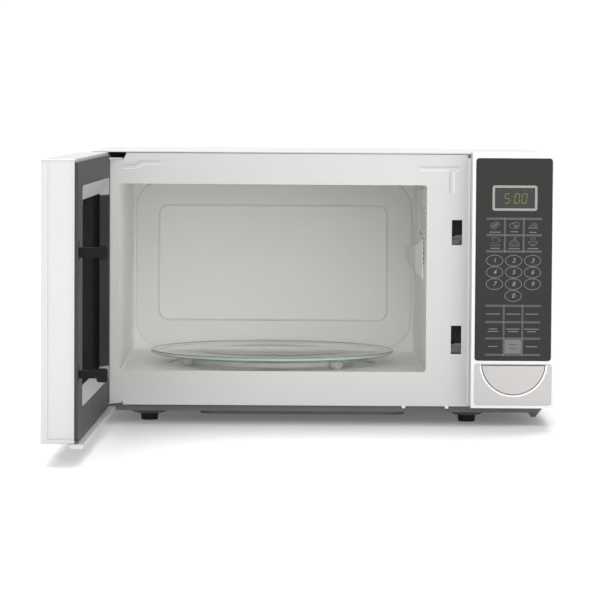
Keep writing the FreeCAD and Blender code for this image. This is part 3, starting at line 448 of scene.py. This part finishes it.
# ---- roller ring and drive coupler ----
# A white moulded ring on three free wheels that run in the floor's track. The coupler is a black
# moulded star pushed on the motor's shaft.
ring_plastic = moulded("ring_white", (0.90, 0.895, 0.88), 0.42)
dress(ring_plastic, "roller_ring", "roller_1", "roller_2", "roller_3")
dress(moulded("coupler_dark", (0.035, 0.035, 0.035), 0.5), "turntable_coupler")
soften(0.5, "roller_ring", "roller_1", "roller_2", "roller_3", "turntable_coupler")

# ---- door ----
# A white moulded frame with a dark textured choke cover snapped into its inside. The window is
# a smoked outer pane, a punched steel shield and a smoked inner sheet in a bevelled surround.
dress(moulded("door_white", (0.60, 0.60, 0.598), 0.36, 0.8, 0.01), "door_frame")
soften(0.7, "door_frame", segments=3)
dress(moulded("choke_dark", (0.034, 0.033, 0.032), 0.55, 0.5, 0.05, 0.4, 0.08), "choke_cover")
soften(0.4, "choke_cover")
trim = Shader("surround_grey_and_black")
height = trim.node("SeparateXYZ", {}, {0: trim.here}, "Z") * 1000
upright = trim.between(height, 58, 60) * (1 - trim.between(height, 222, 224))
grain = trim.noise(0.6, 2)
trim.finish({"Base Color": trim.mix(upright, (0.42, 0.42, 0.415, 1), (0.03, 0.03, 0.03, 1)),
             "Roughness": 0.4 + grain * 0.1, "Specular IOR Level": 0.2}, grain, 0.02)
dress(trim.material, "window_bezel")
soften(0.3, "window_bezel")
dress(moulded("latch_black", (0.012, 0.012, 0.012), 0.5, shine=0.06, spread=0.1), "door_latch")
soften(0.6, "door_latch", segments=3)
dress(zinc("spring_steel", (0.62, 0.62, 0.62), 0.25, 0.95), "latch_spring")


def smoked(name, colour, see_through, shine=0.5, coat=0.0):
    """Smoked acrylic: near black, glossy, with faint smears, partly clear."""
    s = Shader(name)
    smear = s.between(s.noise(35, 4), 0.48, 0.8)
    shade = s.mix(s.noise(70, 2), tint(colour, 0.85), tint(colour, 1.15))
    return s.finish({"Base Color": shade, "Roughness": 0.05 + smear * 0.08, "Alpha": 1 - see_through,
                     "Specular IOR Level": shine, "Coat Weight": coat, "Coat Roughness": 0.04})


dress(smoked("outer_smoke", (0.008, 0.008, 0.009), 0.12, 0.22), "door_outer_window")
dress(smoked("inner_smoke", (0.010, 0.010, 0.010), 0.1, 0.0, 0.04), "inner_window")

shield = Shader("punched_shield")
PITCH = 2.4
run, rise = (shield.node("SeparateXYZ", {}, {0: shield.here}, axis) * (1000 / PITCH) for axis in "YZ")
across, upward = run.math("FRACT", run) - 0.5, rise.math("FRACT", rise) - 0.5
solid = shield.between(across * across + upward * upward, 0.10, 0.13)
cloud = shield.noise(40, 3)
paint = shield.mix(cloud, (0.030, 0.030, 0.030, 1), (0.045, 0.044, 0.043, 1))
shield.finish({"Base Color": shield.mix(solid, (0.004, 0.004, 0.004, 1), paint),
               "Roughness": 0.45 + cloud * 0.15, "Alpha": solid * 0.75 + 0.25}, solid, 0.15)
dress(shield.material, "door_shield")

# ---- control panel ----
# A white moulded front with a recess for the printed keypad film, a tinted display window in a
# grey bezel, and below them a grey trim plate around the half-round door button.
dress(moulded("panel_white", (0.80, 0.80, 0.795), 0.34, 0.8, 0.008), "control_panel_frame")
soften(0.7, "control_panel_frame", segments=3)
dress(moulded("keypad_film", (0.019, 0.0178, 0.0158), 0.45, 0.3, 0.008, 0.25, 0.05), "keypad_overlay")
soften(0.12, "keypad_overlay")
dress(moulded("bezel_grey", (0.30, 0.295, 0.285), 0.38), "display_bezel")
soften(0.2, "display_bezel")
dress(smoked("display_tint", (0.016, 0.0155, 0.013), 0.0), "display_window")
dress(moulded("trim_grey", (0.54, 0.525, 0.515), 0.42, 0.35, 0.02), "lower_trim", "door_button")
soften(0.4, "lower_trim", "door_button", segments=3)

# ---- button ring ----
# A glossy white moulded half ring pressed into the trim plate round the button, a little proud of
# it, and cut off level with the button's top.
BUTTON_X, BUTTON_Z, BUTTON_R, RING_TOP = 409.3, 63.8, 30.0, 61.45
PANEL_Y = -32.9
RING_STEPS = 96
section = ((0.75, 0.2), (1.0, -0.75), (2.4, -0.8), (2.7, -0.6), (2.75, 0.2))
bm = bmesh.new()
for beyond, forward in section:
    facing = (Matrix.Translation(place(BUTTON_X, PANEL_Y + forward, BUTTON_Z))
              @ Matrix.Rotation(math.pi / 2, 4, "X"))
    bmesh.ops.create_circle(bm, segments=RING_STEPS, radius=(BUTTON_R + beyond) * MM, matrix=facing)
bm.edges.ensure_lookup_table()
hoops = [bm.edges[i * RING_STEPS:(i + 1) * RING_STEPS] for i in range(len(section))]
for near, far in zip(hoops, hoops[1:] + hoops[:1]):
    bmesh.ops.bridge_loops(bm, edges=near + far)
bmesh.ops.bisect_plane(bm, geom=bm.verts[:] + bm.edges[:] + bm.faces[:], plane_co=place(0, 0, RING_TOP),
                       plane_no=(0, 0, 1), clear_outer=True)
bmesh.ops.holes_fill(bm, edges=[e for e in bm.edges if e.is_boundary])
bmesh.ops.recalc_face_normals(bm, faces=bm.faces[:])
finished("button_ring", bm, moulded("ring_gloss", (0.88, 0.88, 0.875), 0.25, 0.8, 0.006), "cabinet")

# ---- front plate trim lines ----
# The cover meets the plate in a narrow seam of painted shadow, the plate's right edge is folded forward
# beside the panel in a lighter enamel that is painted highlight, and lines of painted shade and painted
# highlight run along the rims of its two stiffening beads.
PLATE_Y, BEAD_Y, BEAD_LINE = -0.05, -0.72, 1.1
bm = bmesh.new()
block(bm, 36.8, 365.5, PLATE_Y - 0.4, 0.15, 262.55, 263.15)
block(bm, 365.6, 368.6, PLATE_Y - 0.4, 0.15, 259.6, 262.9)
# painted shadow: a dark grey line standing in for the shade where the cover meets the plate
seam_painted_shadow = moulded("seam_painted_shadow", (0.16, 0.16, 0.158), 0.7, shine=0.2)
finished("cover_seam", bm, seam_painted_shadow, "cabinet")
bm = bmesh.new()
block(bm, 366.3, 368.6, PLATE_Y - 1.5, 0.1, 21.5, 258.8, 0.5)
for x in (305.4, 347.2):
    block(bm, x - 1.7, x + 1.7, PLATE_Y - 0.3, 0.6, 16.7, 19.3, 0.2)
# painted highlight: the fold and the two tabs under the plate take a lighter copy of the plate enamel
finished("plate_fold", bm, enamel("fold_painted_highlight", (0.80, 0.80, 0.79), 0.45), "cabinet")
# painted shade and painted highlight: a darker and a lighter copy of the plate enamel for the bead rims
bead_painted_shade = enamel("bead_painted_shade", (0.47, 0.47, 0.462), 0.5)
bead_painted_highlight = enamel("bead_painted_highlight", (0.80, 0.80, 0.79), 0.4)
FLAT = 0.06


def ruled(name, runs, width, material, y, closed=False):
    """Thin flat lines standing at one y: each run is a row of x, z points in millimetres."""
    curve = bpy.data.curves.new(name, "CURVE")
    curve.dimensions = "3D"
    curve.bevel_depth = width / 2 * MM
    curve.bevel_resolution = 1
    curve.use_fill_caps = True
    for run in runs:
        spline = curve.splines.new("POLY")
        spline.points.add(len(run) - 1)
        spline.use_cyclic_u = closed
        for point, (x, z) in zip(spline.points, run):
            point.co = (*place(x, 0, z), 1.0)
    holder = bpy.data.objects.new(name, curve)
    mesh = bpy.data.meshes.new_from_object(holder)
    bpy.data.objects.remove(holder)
    bpy.data.curves.remove(curve)
    flatten = Matrix.Diagonal((1, FLAT, 1, 1)) @ Matrix.Translation((0, -place(0, 0, 0).y, 0))
    mesh.transform(Matrix.Translation((0, place(0, y, 0).y, 0)) @ flatten)
    bm = bmesh.new()
    bm.from_mesh(mesh)
    bpy.data.meshes.remove(mesh)
    return finished(name, bm, material, "cabinet")


def bead_line(name, runs, material):
    """Soft lines of painted shade and painted highlight along the rims of the pressed beads."""
    line = ruled(name, runs, BEAD_LINE, material, BEAD_Y)


bead_line("bead_rims_painted_shade", [[(33, 250.9), (44.6, 250.9), (50.4, 254.5), (69.5, 254.5)],
                               [(320, 250.5), (357.4, 250.5)], [(348.7, 245.6), (348.7, 225.8)]], bead_painted_shade)
bead_line("bead_rims_painted_highlight", [[(33, 247.5), (46.2, 247.5), (52.4, 251.1), (69.5, 251.1)],
                            [(320, 247.1), (347.2, 247.1)], [(353.8, 247.1), (357.4, 247.1)],
                            [(352.5, 245.6), (352.5, 225.8)]], bead_painted_highlight)

# ---- keypad print ----
# Screen-printed light grey ink on the film: ruled bars, picture keys, numeral keys in ovals and
# short marks in place of words. The ink stands a few hundredths of a millimetre high.
INK_Y = PANEL_Y - 0.33


def ink(name, brightness):
    """Flat printing ink with slight density changes."""
    s = Shader(name)
    shade = s.mix(s.noise(3, 3), tint((brightness,) * 3, 0.9), tint((brightness,) * 3, 1.1))
    return s.finish({"Base Color": shade, "Roughness": 0.5 + s.noise(12, 2) * 0.1})


grey_ink, dim_ink, light_ink = ink("ink_grey", 0.155), ink("ink_dim", 0.075), ink("ink_light", 0.235)


def bars(name, boxes, material, lift=0.04):
    """Printed bars, each given by its x and z limits."""
    bm = bmesh.new()
    for x0, x1, z0, z1 in boxes:
        block(bm, x0, x1, INK_Y - lift, INK_Y + 0.06, z0, z1)
    return finished(name, bm, material, "cabinet")


def arc(x, z, a, b, start=0.0, end=360.0, steps=20):
    """Points along part of an ellipse, angles in degrees."""
    turns = [math.radians(start + (end - start) * i / steps) for i in range(steps + 1)]
    return [(x + a * math.cos(t), z + b * math.sin(t)) for t in turns]


ICON_ROWS, ICON_COLUMNS = (202.3, 186.6, 171.0), (399.9, 417.9)
KEY_ROWS, KEY_COLUMNS = (118.9, 103.2, 87.5, 71.8), (399.6, 417.5)
ICON_RULE, KEY_RULE = 1.05, 1.0
rules = [(382.2, 435.3, z - ICON_RULE, z + ICON_RULE) for z in ICON_ROWS]
rules += [(x - 0.9, x + 0.9, ICON_ROWS[-1], ICON_ROWS[0]) for x in ICON_COLUMNS]
rules += [(381.9, 434.9, z - KEY_RULE, z + KEY_RULE) for z in KEY_ROWS]
rules += [(x - 0.9, x + 0.9, KEY_ROWS[-1], KEY_ROWS[0]) for x in KEY_COLUMNS]
bars("print_rules", rules, dim_ink)
crossings = [(x, z) for columns, rows in ((ICON_COLUMNS, ICON_ROWS), (KEY_COLUMNS, KEY_ROWS))
             for x in columns for z in rows]
bars("print_dots", [(x - 0.6, x + 0.6, z - 0.6, z + 0.6) for x, z in crossings], light_ink, 0.06)
bars("print_start_key", [(400.6, 416.6, 73.0, 86.4)], grey_ink)
marks = [(x - w, x + w, z - 0.45, z + 0.45) for x, z, w in (
    (390.6, 189.4, 5.4), (408.9, 189.9, 3.6), (426.8, 189.4, 3.4), (390.6, 173.9, 4.6), (408.9, 173.9, 5.4),
    (426.8, 173.9, 5.2), (389.4, 111.0, 6.6), (408.6, 111.0, 6.8), (426.4, 111.0, 6.0), (389.4, 96.6, 4.0),
    (389.4, 94.2, 5.2), (408.6, 96.6, 6.4), (408.6, 94.2, 4.8), (426.4, 96.6, 7.0), (426.4, 94.2, 4.2),
    (389.4, 79.8, 4.4), (426.4, 79.8, 5.4))]
bars("print_marks", marks, grey_ink)
bars("print_start_marks", [(404.4, 412.8, 81.2, 82.2), (404.8, 412.2, 77.2, 78.2)], dim_ink, 0.07)

ovals = [(x, z) for z in (162.2, 151.0, 139.7) for x in (390.4, 408.6, 426.7)] + [(408.4, 128.4)]
ruled("print_key_ovals", [arc(x, z, 7.9, 5.2, steps=40)[:-1] for x, z in ovals], 0.7, grey_ink, INK_Y, closed=True)

bm = bmesh.new()
for text, (x, z) in zip("1234567890", ovals):
    letter = bpy.data.curves.new("numeral", "FONT")
    letter.body, letter.size, letter.shear, letter.extrude = text, 6.0 * MM, 0.28, 0.02 * MM
    letter.align_x, letter.align_y = "CENTER", "CENTER"
    letter.offset = 0.06 * MM
    holder = bpy.data.objects.new("numeral", letter)
    mesh = bpy.data.meshes.new_from_object(holder)
    mesh.transform(Matrix.Translation(place(x, INK_Y, z)) @ Matrix.Rotation(math.pi / 2, 4, "X"))
    bm.from_mesh(mesh)
    bpy.data.objects.remove(holder)
    bpy.data.curves.remove(letter)
    bpy.data.meshes.remove(mesh)
finished("print_numerals", bm, light_ink, "cabinet")

corn = [arc(x, z, 1.5, 1.4) for x, z in ((388.6, 196.6), (391.3, 195.6), (393.4, 197.3), (389.9, 193.9),
                                         (387.3, 194.6), (391.5, 198.0))]
potato = [arc(407.6, 195.6, 3.6, 2.3), arc(410.6, 197.0, 3.0, 2.1), arc(411.0, 194.4, 2.2, 1.3)]
pizza = [[(422.3, 193.2), (431.0, 193.2), (430.2, 197.2), (427.6, 198.8), (422.3, 193.2)],
         [(422.6, 194.1), (430.8, 194.1)], arc(427.2, 196.2, 0.6, 0.6), arc(429.2, 195.6, 0.5, 0.5)]
cup = [[(387.6, 184.2), (387.9, 178.8), (393.2, 178.8), (393.5, 184.2), (387.6, 184.2)],
       arc(394.2, 181.8, 1.4, 1.5, -90, 90, 8), arc(390.5, 177.6, 5.0, 1.1, 180, 360, 10)]
heap = [arc(408.9, 177.4, 4.6, 4.4, 0, 180, 14),
        [(403.4, 177.4), (414.4, 177.4)], [(403.8, 176.2), (414.0, 176.2)],
        [(409.0, 181.9), (411.6, 185.2)], [(408.3, 181.9), (409.4, 184.9)],
        arc(408.9, 178.6, 2.6, 1.6, 0, 180, 8)]
bowl = [arc(426.8, 180.2, 4.4, 2.8, 180, 360, 12),
        [(422.0, 180.3), (431.6, 180.3)], [(424.6, 176.9), (429.0, 176.9)],
        [(425.0, 181.6), (424.5, 182.6), (425.4, 183.6), (424.9, 184.6)],
        [(426.9, 181.6), (426.4, 182.8), (427.3, 184.0), (426.8, 185.2)],
        [(428.8, 181.6), (428.3, 182.6), (429.2, 183.6), (428.7, 184.6)]]
ruled("print_pictures", corn + potato + pizza + cup + heap + bowl, 0.42, grey_ink, INK_Y)

# ---- display ----
# Thin yellow-green lit segments at the display window, leaning a little, with small dim signs over
# them. They show the time as one digit and two more after a colon.
lit = Shader("lit_segments")
flicker = lit.noise(2.5, 2)
lit.finish({"Base Color": (0.02, 0.02, 0.01, 1), "Roughness": 0.4, "Emission Strength": 0.75,
            "Emission Color": lit.mix(flicker, (0.21, 0.30, 0.006, 1), (0.33, 0.42, 0.012, 1))})
DIGIT_W, DIGIT_H, DIGIT_Z, DIGIT_GAP, LEAN = 4.4, 9.0, 217.2, 0.45, 0.12
BARS_OF = {"5": "afgcd", "0": "abcdef"}


def segments(x, digit):
    """The lit bars of one seven-bar digit, as leaning runs."""
    w, h, gap = DIGIT_W, DIGIT_H, DIGIT_GAP
    shape = {"a": ((gap, h), (w - gap, h)), "d": ((gap, 0), (w - gap, 0)),
             "g": ((gap, h / 2), (w - gap, h / 2)), "f": ((0, h / 2 + gap), (0, h - gap)),
             "b": ((w, h / 2 + gap), (w, h - gap)), "e": ((0, gap), (0, h / 2 - gap)),
             "c": ((w, gap), (w, h / 2 - gap))}
    return [[(x + px + pz * LEAN, DIGIT_Z + pz) for px, pz in shape[n]] for n in BARS_OF[digit]]


runs = segments(399.0, "5") + segments(408.6, "0") + segments(415.6, "0")
runs += [[(405.9 + z * LEAN, DIGIT_Z + z) for z in (low, low + 0.5)] for low in (2.6, 6.0)]
ruled("display_digits", runs, 0.62, lit.material, INK_Y)
dim = Shader("dim_segments")
dim.finish({"Base Color": (0.02, 0.02, 0.01, 1), "Roughness": 0.4, "Emission Strength": 0.5,
            "Emission Color": dim.mix(dim.noise(2, 2), (0.10, 0.13, 0.01, 1), (0.16, 0.20, 0.012, 1))})
ruled("display_signs", [[(392.6, 229.2), (393.6, 229.2)], [(394.4, 229.2), (395.4, 229.2)],
                        [(396.2, 229.2), (396.8, 229.2)], [(417.4, 229.2), (420.0, 229.2)],
                        [(424.2, 229.0), (425.0, 229.5)], [(424.4, 229.6), (425.0, 229.0)]],
      0.55, dim.material, INK_Y)

# ---- latch gear ----
# The moulded latch board behind the two slots is black, with a band of painted light at the foot of
# each slot where light falls in through it. The release lever is white, and the snap switches and
# their plungers are black.
catch = Shader("board_black_with_painted_light")
height = catch.node("SeparateXYZ", {}, {0: catch.here}, "Z") * 1000
# painted light: grey bands on the board at the foot of each slot, lit through the slot
BAND_FEET, BAND_HIGH, BLUR = (68.5, 174.2), 9.7, 0.3
slot_light_band = sum((catch.between(height, z - BLUR, z + BLUR)
            - catch.between(height, z + BAND_HIGH - BLUR, z + BAND_HIGH + BLUR) for z in BAND_FEET), 0)
grain = catch.noise(0.5, 2)
catch.finish({"Base Color": catch.mix(slot_light_band, (0.011, 0.011, 0.011, 1), (0.50, 0.50, 0.49, 1)),
              "Roughness": 0.5 + grain * 0.1}, grain, 0.02)
dress(catch.material, "latch_board")
dress(moulded("lever_white", (0.58, 0.58, 0.565), 0.45), "release_lever")
dress(moulded("switch_black", (0.014, 0.014, 0.015), 0.5, shine=0.3), "switch_upper", "switch_lower",
      "switch_monitor", "plunger_upper", "plunger_lower")
soften(0.3, "latch_board", "release_lever")

# ---- electronics bay ----
# Plated magnetron and motor cans, varnished iron cores, a bright capacitor can, black mouldings,
# a white fan, a glass lamp and green boards. All are on the right of the oven but the turntable
# motor, which is under its floor.
dress(zinc("plated_steel", (0.55, 0.55, 0.53), 0.35, 0.8), "magnetron", "turntable_motor")
dress(moulded("varnished_iron", (0.09, 0.075, 0.065), 0.55, 1.5, 0.05), "hv_transformer", "fan_motor")
dress(zinc("capacitor_can", (0.72, 0.72, 0.72), 0.28, 0.95), "hv_capacitor")
dress(moulded("black_moulding", (0.025, 0.025, 0.025), 0.5), "hv_diode", "thermal_cutout", "fan_shroud",
      "display_module")
dress(moulded("fan_white", (0.72, 0.72, 0.70), 0.45), "fan_blades")
dress(glass("lamp_glass", (0.97, 0.95, 0.88), 0.02, 1.0, 4.0), "oven_lamp")
board = Shader("board_green")
tracks = board.between(board.noise(2.4, 1), 0.48, 0.52)
board.finish({"Base Color": board.mix(tracks, (0.012, 0.07, 0.025, 1), (0.03, 0.13, 0.05, 1)),
              "Roughness": 0.35 + tracks * 0.15}, tracks, 0.03)
dress(board.material, "control_board", "noise_filter")
